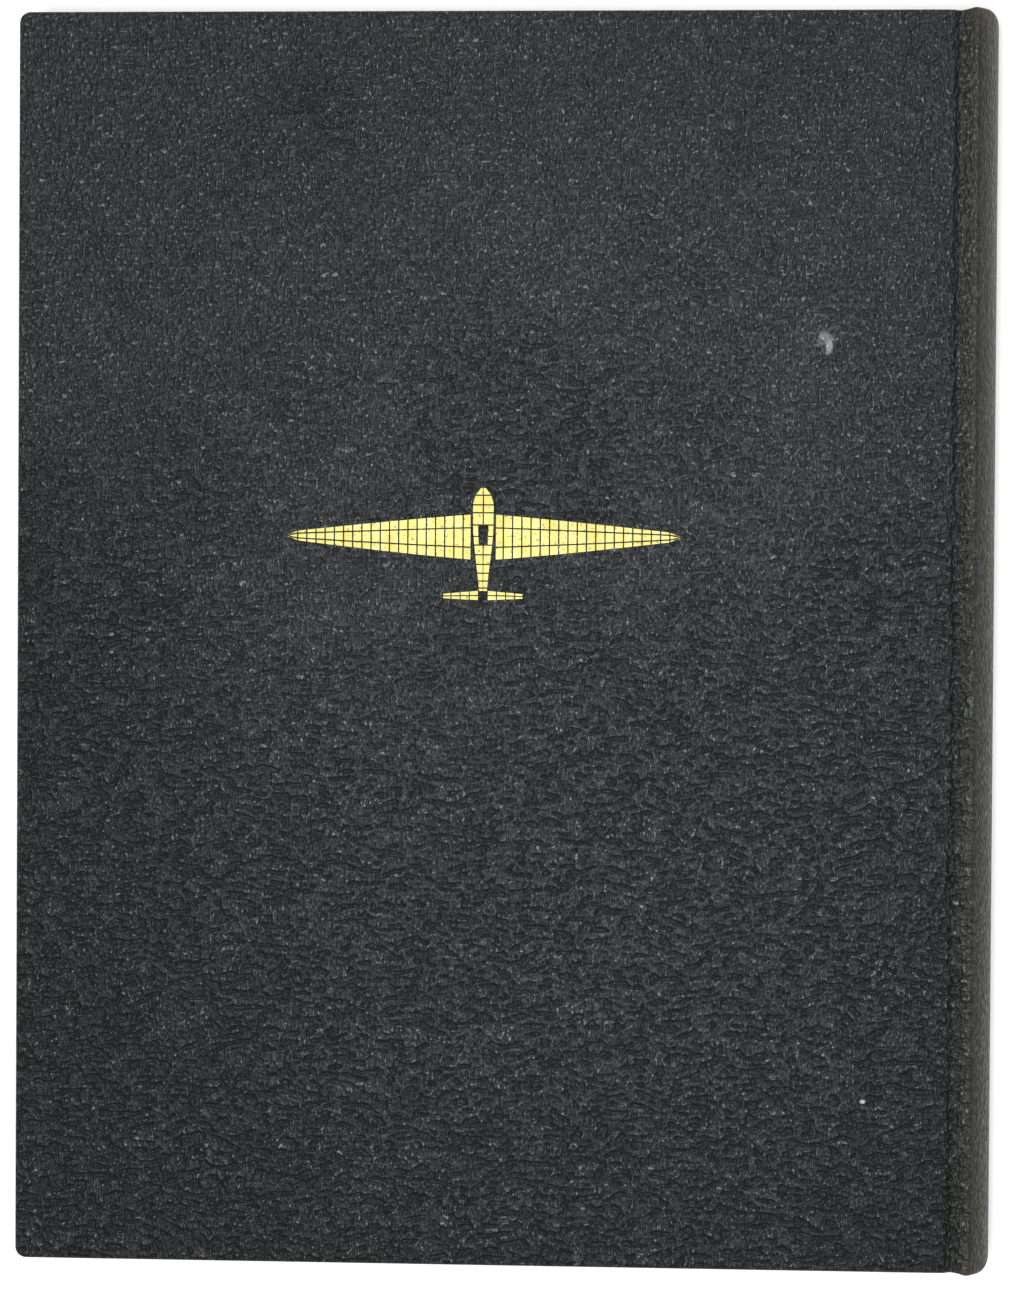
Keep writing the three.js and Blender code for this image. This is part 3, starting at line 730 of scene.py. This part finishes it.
def spine_profile():
    """Outer line of the spine cloth: groove floor, over the shoulder, round the back, and down again."""
    end = math.radians(43)
    start = np.array([BACK_CENTRE + SPINE_RADIUS * math.cos(end), SPINE_RADIUS * math.sin(end)])
    along = np.array([-math.sin(end), math.cos(end)])
    floor = MIDDLE - GROOVE_FLOOR
    curl = bezier(start, start + along * 1.7, (GROOVE + 1.6, floor), (GROOVE, floor), 14)
    round_back = arc(-43, 43, 44)
    back = np.stack([
        BACK_CENTRE + SPINE_RADIUS * np.cos(round_back),
        SPINE_RADIUS * np.sin(round_back),
    ], 1)
    line = np.concatenate([(curl * [1, -1])[::-1], back[1:-1], curl])
    return line + [0, MIDDLE]


def spine_wear(piece):
    """Marks how worn each point is: most at the spine's two ends and along its back."""
    co = np.zeros(len(piece.data.vertices) * 3, np.float32)
    piece.data.vertices.foreach_get("co", co)
    x, y = (co.reshape(-1, 3) / MM).T[:2]
    at_end = smooth(np.abs(y), HALF_COVER - 8.0, HALF_COVER) * smooth(x, GROOVE - 1.0, GROOVE + 4.0)
    on_back = 0.3 + 0.4 * smooth(x, SPINE_HIGH[0] - 4.5, SPINE_HIGH[0] - 0.5)
    patch = 0.75 + 0.25 * np.sin(y / 5.3 + 1.3 * np.sin(y / 2.1)) * np.cos(x * 1.1)
    worn = np.clip(np.maximum(at_end, on_back) * patch, 0, 1)
    smoothed = smooth(x, GROOVE + 0.5, GROOVE + 3.5)
    for name, values in (("worn", worn), ("stretched", smoothed)):
        layer = piece.data.attributes.new(name, "FLOAT", "POINT")
        layer.data.foreach_set("value", values.astype(np.float32))


def spine_cloth():
    """The cloth round the spine, rolled in at head and tail."""
    line = spine_profile()
    scale = 0.35 + 0.65 * smooth(line[:, 0], GROOVE + 0.5, GROOVE + 4.0)
    turn_in = 8.0
    rows = rolled_rows(60, 1.1, turn_in, 1.75)
    outer = swept(line, spine_end(line[:, 0]), rows, scale)
    piece = make_piece("spine_leathercloth", thick_sheet(outer, 0.45), LEATHERCLOTH)
    spine_wear(piece)
    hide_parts("spine_cloth")
    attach(piece, "spine")
    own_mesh(piece)


def joint_profile():
    """Outer line of the joint cloth: off the board's back edge and down to the groove's floor."""
    run = GROOVE - COVER_BACK
    start, floor = TOP - BOARD_FALL, TOP - GROOVE_FLOOR
    slope = 2 * BOARD_FALL / FALL_LENGTH
    return bezier(
        (COVER_BACK, start),
        (COVER_BACK + run * 0.4, start - slope * run * 0.4),
        (GROOVE - run * 0.45, floor),
        (GROOVE, floor),
        14,
    )


def joint_cloth(side):
    """Cloth in a groove, with paper behind it."""
    line = joint_profile()[::-1]
    ends = np.full(len(line), HALF_COVER)
    rows = rolled_rows(60, 0.6, 1.5, 0.9)
    outer = swept(line, ends, rows, np.ones(len(line)))
    piece = make_piece(
        f"{side}_joint_leathercloth", on_side(thick_sheet(outer, 0.42), side), LEATHERCLOTH
    )
    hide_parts(f"{side}_joint_cloth")
    bend_with_cover(piece, side)


def bend_with_cover(piece, side):
    """Bakes a piece's transform into its mesh, the same way for the upper and the lower side."""
    if side == "upper":
        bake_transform(piece)
    else:
        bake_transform(piece)


def joint_lining(side):
    """Endpaper over the joint's inside: up the board's back edge, then along the cloth to the groove."""
    behind = TOP - GROOVE_FLOOR - CLOTH
    line = np.concatenate([
        [(COVER_BACK - 0.35, TOP - TURNED_IN - 0.07), (COVER_BACK - 0.05, TOP - TURNED_IN - 0.04)],
        bezier(
            (COVER_BACK + 0.1, TOP - TURNED_IN + 0.15),
            (COVER_BACK + 0.1, behind + 1.2),
            (COVER_BACK + 0.5, behind - 0.12),
            (GROOVE + 0.3, behind - 0.12),
            12,
        ),
    ])
    y = np.linspace(-HALF_LEAF, HALF_LEAF, 40)
    outer = points_of(line[None, :, 0], y[:, None], line[None, :, 1])
    piece = make_piece(f"{side}_joint_endpaper", on_side(thick_sheet(outer, 0.1), side), ENDPAPER)
    bend_with_cover(piece, side)


def pastedown(side):
    """Endpaper pasted inside a cover. It drops from the turn-ins onto the board over a soft step."""
    x = np.linspace(PASTEDOWN_LOW[0], PASTEDOWN_HIGH[0], 110)
    y = np.linspace(PASTEDOWN_LOW[1], PASTEDOWN_HIGH[1], 140)
    gx, gy = np.meshgrid(x, y)
    half_board = BOARD_HIGH[1]
    from_edge = np.minimum(gx - BOARD_LOW[0], half_board - np.abs(gy))
    drop = PASTEDOWN_HIGH[2] - PASTEDOWN_LOW[2] - PAPER
    mitre = 0.05 * np.exp(-(((gx - BOARD_LOW[0]) - (half_board - np.abs(gy))) / 1.2) ** 2)
    mitre = mitre * smooth(from_edge, TURN_IN, TURN_IN - 2)
    sunk = PASTEDOWN_LOW[2] + drop * smooth(from_edge, TURN_IN - 0.4, TURN_IN + 1.6) - mitre
    leaf = thick_sheet(points_of(gx, gy, sunk), PAPER * 0.9)
    piece = make_piece(f"{side}_pasted_endpaper", on_side(leaf, side), ENDPAPER)
    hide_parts(f"{side}_pastedown")
    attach(piece, "upper_cover" if side == "upper" else "lower_half")


# ---- Text block ----------------------------------------------------------------------------------


def fan_at(x):
    """How far the sections fan out: 1 over the flat leaves, SWELL where the folds are."""
    outer_fold = fold_of(SECTIONS - 1)[0]
    return 1 + (SWELL - 1) * smooth(x, SHOULDER_START, outer_fold)


def fold_of(index):
    """Centre (x, level) and radius of a section's rounded fold."""
    radius = SECTION_THICKNESS / 2 * SWELL
    level = (index - (SECTIONS - 1) / 2) * SECTION_PITCH * SWELL
    x = BACK_CENTRE + math.sqrt((BACK_RADIUS - 0.05 - radius) ** 2 - level**2)
    return x, level, radius


def flyleaf(side):
    """Free endpaper: it lies on the outer section and follows it over the shoulder."""
    last_x = fold_of(SECTIONS - 1)[0]
    x = np.concatenate([
        np.linspace(FLYLEAF_LOW[0], SHOULDER_START, 24)[:-1],
        np.linspace(SHOULDER_START, last_x, 12),
    ])
    y = np.linspace(-HALF_LEAF, HALF_LEAF, 40)
    gx, gy = np.meshgrid(x, y)
    lift = PAPER + 0.06
    top = MIDDLE + HALF_TEXT * fan_at(gx) + lift
    leaf = thick_sheet(points_of(gx, gy, top), -PAPER * 0.8)
    piece = make_piece(f"{side}_free_endpaper", on_side(leaf, side), ENDPAPER)
    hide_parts(f"{side}_flyleaf")
    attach(piece, "last_section" if side == "upper" else "lower_half")


def section_leaves(name, index, low_share, high_share, seed):
    """A stack of leaves as one closed mesh. A loop runs round the leaves' head, fore-edge and tail and
    back along the fold; it is stacked level by level, in and out by a hair at every leaf. The faces are
    grids between the loop's sides. Levels near the fold follow the fan, and the fold is round."""
    fold_x, _, radius = fold_of(index)
    flat = (index - (SECTIONS - 1) / 2) * SECTION_PITCH
    count = max(2, round(LEAVES * (high_share - low_share)))
    share = np.linspace(low_share, high_share, 2 * count + 1)
    offset = (share - 0.5) * SECTION_THICKNESS
    random = np.random.default_rng(seed)
    cut = np.repeat(random.uniform(0.0, 0.09, count), 2)
    nick = np.append(cut + np.tile([0.0, 0.1], count), cut[-1])
    tip = fold_x + np.sqrt(np.clip(radius**2 - (offset * SWELL) ** 2, 0, None))
    fore = fold_x + radius - LEAF_WIDTH
    across = np.concatenate([
        np.linspace(0, 1, 12)[:-1] * (SHOULDER_START - fore) + fore,
        np.linspace(SHOULDER_START, fold_x, 9),
    ])
    along = np.linspace(-1, 1, 30)
    levels = len(share)

    def level_row(x_of_level, j):
        """Heights for a row of x places at one level."""
        return MIDDLE + (flat + offset[j]) * fan_at(x_of_level)

    def plan(j):
        """x places of one level from the fore-edge to the fold."""
        x = across.copy()
        x[0] = fore + nick[j]
        return np.append(x, max(tip[j], fold_x + 1e-3))

    x_rows = np.stack([plan(j) for j in range(levels)])
    z_rows = np.stack([level_row(x_rows[j], j) for j in range(levels)])
    half = HALF_LEAF - nick[:, None]
    head = points_of(x_rows, half, z_rows)
    tail = points_of(x_rows, -half, z_rows)
    fore_edge = points_of(x_rows[:, :1], half * along, z_rows[:, :1])
    fold = points_of(x_rows[:, -1:], half * along, z_rows[:, -1:])
    faces = [
        points_of(x_rows[j][:, None], (half[j] * along)[None], z_rows[j][:, None]) for j in (0, -1)
    ]
    level_uv = np.arange(levels)[:, None] / 2 + seed * 40
    uv = [np.stack(np.broadcast_arrays(g[..., 0], level_uv), -1) for g in (head, tail)]
    uv += [np.stack(np.broadcast_arrays(g[..., 1], level_uv), -1) for g in (fore_edge, fold)]
    uv += [np.stack([g[..., 0], np.full(g.shape[:2], seed * 40.5)], -1) for g in faces]
    return make_piece(name, [head, tail, fore_edge, fold, *faces], LEAF_EDGES, sharp=35, uv=uv)


SECTION_BODIES = {
    0: "lower_half",
    1: "second_section",
    2: "third_section",
    3: "fourth_section",
    5: "sixth_section",
    6: "seventh_section",
    7: "eighth_section",
    8: "last_section",
}


def text_block():
    """Every section as a stack of leaves; the middle one in two halves that open on a ruled spread."""
    for index, body in SECTION_BODIES.items():
        piece = section_leaves(f"folded_leaves_{index + 1}", index, 0.0, 1.0, index + 1)
        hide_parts(f"section_{index + 1}")
        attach(piece, body)
    for half, low, high, seed in (("lower", 0.0, 0.43, 11), ("upper", 0.57, 1.0, 12)):
        piece = section_leaves(f"centre_leaves_{half}", 4, low, high, seed)
        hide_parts(f"centre_section_{half}")
        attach(piece, f"centre_{half}")
        ruled_page(half)


def ruled_page(half):
    """The leaf that shows when the book is open in the middle, lying on its half of the section."""
    way = -1 if half == "lower" else 1
    fold_x, _, radius = fold_of(4)
    x = np.linspace(fold_x + radius - LEAF_WIDTH, fold_x + radius - 0.06, 60)
    y = np.linspace(-HALF_LEAF, HALF_LEAF, 50)
    gx, gy = np.meshgrid(x, y)
    rise = smooth(gx, fold_x - 1.6, fold_x - 0.6) * (1 - smooth(gx, fold_x + 0.6, fold_x + 1.0))
    level = 0.025 + 0.42 * rise
    sheet = thick_sheet(points_of(gx, gy, MIDDLE + way * level), way * 0.07)
    piece = make_piece(f"ruled_page_{half}", sheet, RULED)
    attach(piece, f"centre_{half}")


def back_segment(index, low_share, high_share):
    """Polar angles that a section, or half of one, covers on the rounded back."""
    _, level, radius = fold_of(index)
    pitch = SECTION_PITCH / SECTION_THICKNESS
    low = level + (low_share * 2 - 1) * radius * pitch
    high = level + (high_share * 2 - 1) * radius * pitch
    return [math.asin(np.clip(z / BACK_RADIUS, -0.67, 0.67)) for z in (low, high)]


def back_parts():
    """Each section's own stretch of the back: number, body, and its shares of the section."""
    rows = [(index, body, 0.0, 1.0) for index, body in SECTION_BODIES.items()]
    rows += [(4, "centre_lower", 0.0, 0.5), (4, "centre_upper", 0.5, 1.0)]
    return rows


def part_label(index, body):
    """What a stretch of the back is called: its section's number, or the half of the middle one."""
    return body.split("_")[1] if index == 4 else str(index + 1)


def back_lining(index, body, low, high):
    """Mull and paper over one section's fold, a stretch of a band round the back."""
    angles = np.linspace(*back_segment(index, low, high), 6)
    y = np.linspace(-HALF_LEAF, HALF_LEAF, 30)
    radius = BACK_RADIUS + 0.72
    outer = points_of(
        BACK_CENTRE + radius * np.cos(angles)[None], y[:, None], MIDDLE + radius * np.sin(angles)[None]
    )
    label = part_label(index, body)
    piece = make_piece(f"back_lining_{label}", thick_sheet(outer, 0.6), MULL)
    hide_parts("mull", "spine_liner", "tape_1", "tape_2", "tape_3")
    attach(piece, body)


def endband(end, index, body, low, high):
    """One section's stretch of an endband: a wound bead, 1.6 mm thick, at the head or the tail."""
    way = 1 if end == "head" else -1
    angles = np.linspace(*back_segment(index, low, high), 5)
    bead = arc(0, 360, 13)
    radius = BACK_RADIUS - 0.75 + 0.72 * np.cos(bead)
    y = way * (HALF_LEAF + 0.85) + 0.8 * np.sin(bead)
    tube = points_of(
        BACK_CENTRE + radius[None] * np.cos(angles)[:, None],
        y[None],
        MIDDLE + radius[None] * np.sin(angles)[:, None],
    )
    centres = tube[:, :-1].mean(1)
    caps = [np.stack([tube[row], np.tile(centres[row], (len(bead), 1))]) for row in (0, -1)]
    length = angles * BACK_RADIUS + 40
    uv = [np.stack(np.broadcast_arrays(length[:, None], bead[None]), -1)]
    uv += [np.full((*cap.shape[:2], 2), length[row]) for cap, row in zip(caps, (0, -1))]
    label = part_label(index, body)
    piece = make_piece(f"{end}_endband_{label}", [tube, *caps], ENDBAND, uv=uv)
    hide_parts(f"{end}_band")
    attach(piece, body)


def spine_card():
    """The card that stiffens the spine, inside the cloth."""
    angles = arc(-38, 38, 30)
    radius = SPINE_RADIUS - CLOTH - 0.05
    half = BOARD_HIGH[1] - 3.2
    y = np.linspace(-half, half, 20)
    outer = points_of(
        BACK_CENTRE + radius * np.cos(angles)[None], y[:, None], MIDDLE + radius * np.sin(angles)[None]
    )
    piece = make_piece("spine_card", thick_sheet(outer, 0.7), KRAFT)
    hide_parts("spine_inlay")
    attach(piece, "spine")
    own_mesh(piece)


# ---- Foil emblem -----------------------------------------------------------------------------------


def foil_panel(corners):
    """A foil island between four corners, thin as the film, domed a little at its middle."""
    corners = np.array(corners, float)
    t = np.linspace(0, 1, 4)
    low = corners[0] + (corners[1] - corners[0]) * t[:, None]
    high = corners[3] + (corners[2] - corners[3]) * t[:, None]
    grid = low[None] + (high - low)[None] * t[:, None, None]
    crown = 0.03 * np.sin(math.pi * t)[None] * np.sin(math.pi * t)[:, None]
    base = TOP - STAMP_DEPTH
    top = points_of(grid[..., 0] + EMBLEM_X, grid[..., 1] + EMBLEM_Y, base + 0.05 + crown)
    under = top * [1, 1, 0] + [0, 0, base + 0.01]
    sides = (np.s_[0], np.s_[-1], np.s_[:, 0], np.s_[:, -1])
    return [top, under] + [np.stack([top[side], under[side]]) for side in sides]


def wing_panels(side):
    """One wing's panels: ribs run fore and aft, three strips lie across the chord, with gaps."""
    gap = 0.17
    stations = np.concatenate([[2.75], np.linspace(4.6, HALF_SPAN - 2.4, 19), [HALF_SPAN]])
    strips = [(0.0, 0.3), (0.3, 0.72), (0.72, 1.0)]
    made = []
    for inner, outer in zip(stations[:-1], stations[1:]):
        ends = []
        for x in (inner + gap, outer - gap):
            share = x / HALF_SPAN
            narrow = math.sqrt(max(0.0, 1 - max(0.0, (share - 0.93) / 0.07) ** 2))
            middle = (leading_edge(share) + trailing_edge(share)) / 2
            half = (leading_edge(share) - trailing_edge(share)) / 2 * max(narrow, 0.25)
            ends.append((x, middle + half, 2 * half))
        for front, rear in strips:
            (x0, lead0, chord0), (x1, lead1, chord1) = ends
            made += foil_panel([
                (side * x0, lead0 - chord0 * rear + gap),
                (side * x1, lead1 - chord1 * rear + gap),
                (side * x1, lead1 - chord1 * front - gap),
                (side * x0, lead0 - chord0 * front - gap),
            ])
    return made


def body_panels():
    """Fuselage bands from cowl to tail cone, with the cockpit's three panes left dark between them."""
    gap = 0.16
    cuts = [NOSE, 11.4, 9.2, 7.4, 4.6, 2.0, 0.0, -2.2, -4.4, -6.4, -8.2, -9.8, -NOSE + 2.6]
    made = []
    for number, (front, rear) in enumerate(zip(cuts[:-1], cuts[1:])):
        wide0 = float(body_half_width(rear + gap))
        wide1 = float(body_half_width(front - gap))
        if number in (4, 5):
            spans = [(-1.0, -0.52), (0.52, 1.0)]
        else:
            spans = [(-1.0, -0.07), (0.07, 1.0)]
        for left, right in spans:
            made += foil_panel([
                (left * wide0, rear + gap),
                (right * wide0, rear + gap),
                (right * wide1, front - gap),
                (left * wide1, front - gap),
            ])
    return made


def tail_panels(side):
    """Half the tailplane: four panels forward of the hinge line and four elevator panels behind it."""
    gap = 0.14
    stations = [1.0, 3.1, 5.2, 7.3, 9.2]
    made = []
    for inner, outer in zip(stations[:-1], stations[1:]):
        for front, rear in ((0.0, 0.5), (0.5, 1.0)):
            rows = []
            for x in (inner + gap, outer - gap):
                lead = -NOSE + 3.0 - 0.09 * x
                trail = -NOSE + 0.45 + 0.05 * x
                chord = lead - trail
                rows.append((x, lead - chord * front - gap, lead - chord * rear + gap))
            (x0, high0, low0), (x1, high1, low1) = rows
            made += foil_panel([
                (side * x0, low0), (side * x1, low1), (side * x1, high1), (side * x0, high0)
            ])
    return made


def foil_emblem():
    """The stamped aircraft: wings, fuselage and tailplane as islands of foil in the pressed cloth."""
    grids = wing_panels(-1) + wing_panels(1) + body_panels() + tail_panels(-1) + tail_panels(1)
    piece = make_piece("stamped_foil_aircraft", grids, FOIL, sharp=50)
    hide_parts("foil_emblem")
    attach(piece, "upper_cover")


# ---- Stage -----------------------------------------------------------------------------------------


def make_floor():
    """A white studio table under the book, which runs 4 m out on every side."""
    reach = 4000.0
    x = np.linspace(-reach, reach, 3)
    gx, gy = np.meshgrid(x, x)
    material, tree, shader = new_material("white_studio_table", roughness=0.8)
    mottle = add_node(
        tree, "ShaderNodeTexNoise", Vector=object_place(tree), Scale=3.0, Detail=1.0
    ).outputs[0]
    tree.links.new(
        mix_colour(tree, mottle, linear(0xFAFAF9), linear(0xFFFFFF)), shader.inputs["Base Color"]
    )
    floor = make_piece("table", [points_of(gx, gy, np.full_like(gx, -0.02))], material)


def add_light(name, place, target, size, power, colour=(1, 1, 1)):
    """A square softbox at a place, turned to a target, both in millimetres."""
    data = bpy.data.lights.new(name, "AREA")
    data.shape, data.size, data.energy, data.color = "SQUARE", size * MM, power, colour
    lamp = bpy.data.objects.new(name, data)
    lamp.location = [c * MM for c in place]
    lamp.rotation_mode = "QUATERNION"
    lamp.rotation_quaternion = (Vector(target) - Vector(place)).to_track_quat("-Z", "Y")
    bpy.context.scene.collection.objects.link(lamp)


def make_light():
    """Soft studio light: an even room, a softbox over the book, and one beyond its head."""
    world = bpy.data.worlds.new("studio")
    world.use_nodes = True
    background = world.node_tree.nodes["Background"]
    background.inputs[0].default_value = (0.97, 0.985, 1.0, 1)
    background.inputs[1].default_value = 0.3
    bpy.context.scene.world = world
    add_light("softbox_over", (0, -60, 1100), (20, -20, 0), 400, 13.0)
    add_light("softbox_head", (500, 1700, 1000), (20, 20, 0), 600, 11.0)


def make_camera():
    """Straight down on the cover, from a little towards the spine, with a long lens."""
    data = bpy.data.cameras.new("camera")
    data.lens = 100
    camera = bpy.data.objects.new("camera", data)
    camera.location = (0.0482, 0.0139, 0.8423)
    camera.rotation_euler = [math.radians(a) for a in (-1.03, 3.365, 0.364)]
    bpy.context.scene.collection.objects.link(camera)
    bpy.context.scene.camera = camera


# ---- The book ----------------------------------------------------------------------------------------

make_camera()
bpy.context.scene.view_settings.view_transform = "Standard"
make_light()
make_floor()

for side in ("lower", "upper"):
    cover_cloth(side)
    joint_cloth(side)
    joint_lining(side)
    pastedown(side)
    flyleaf(side)
    frame["nodes"][f"{side}_board"].data.materials.clear()
    frame["nodes"][f"{side}_board"].data.materials.append(BINDERS_BOARD)
text_block()
for part in back_parts():
    if part[0] != 4:  # bare where the two halves of the open book meet
        back_lining(*part)
    endband("head", *part)
    endband("tail", *part)
for number in range(1, SECTIONS + 1):
    thread = frame["nodes"][f"sewing_thread_{number}"]
    thread.data.materials.clear()
    thread.data.materials.append(THREAD)
spine_cloth()
spine_card()
foil_emblem()
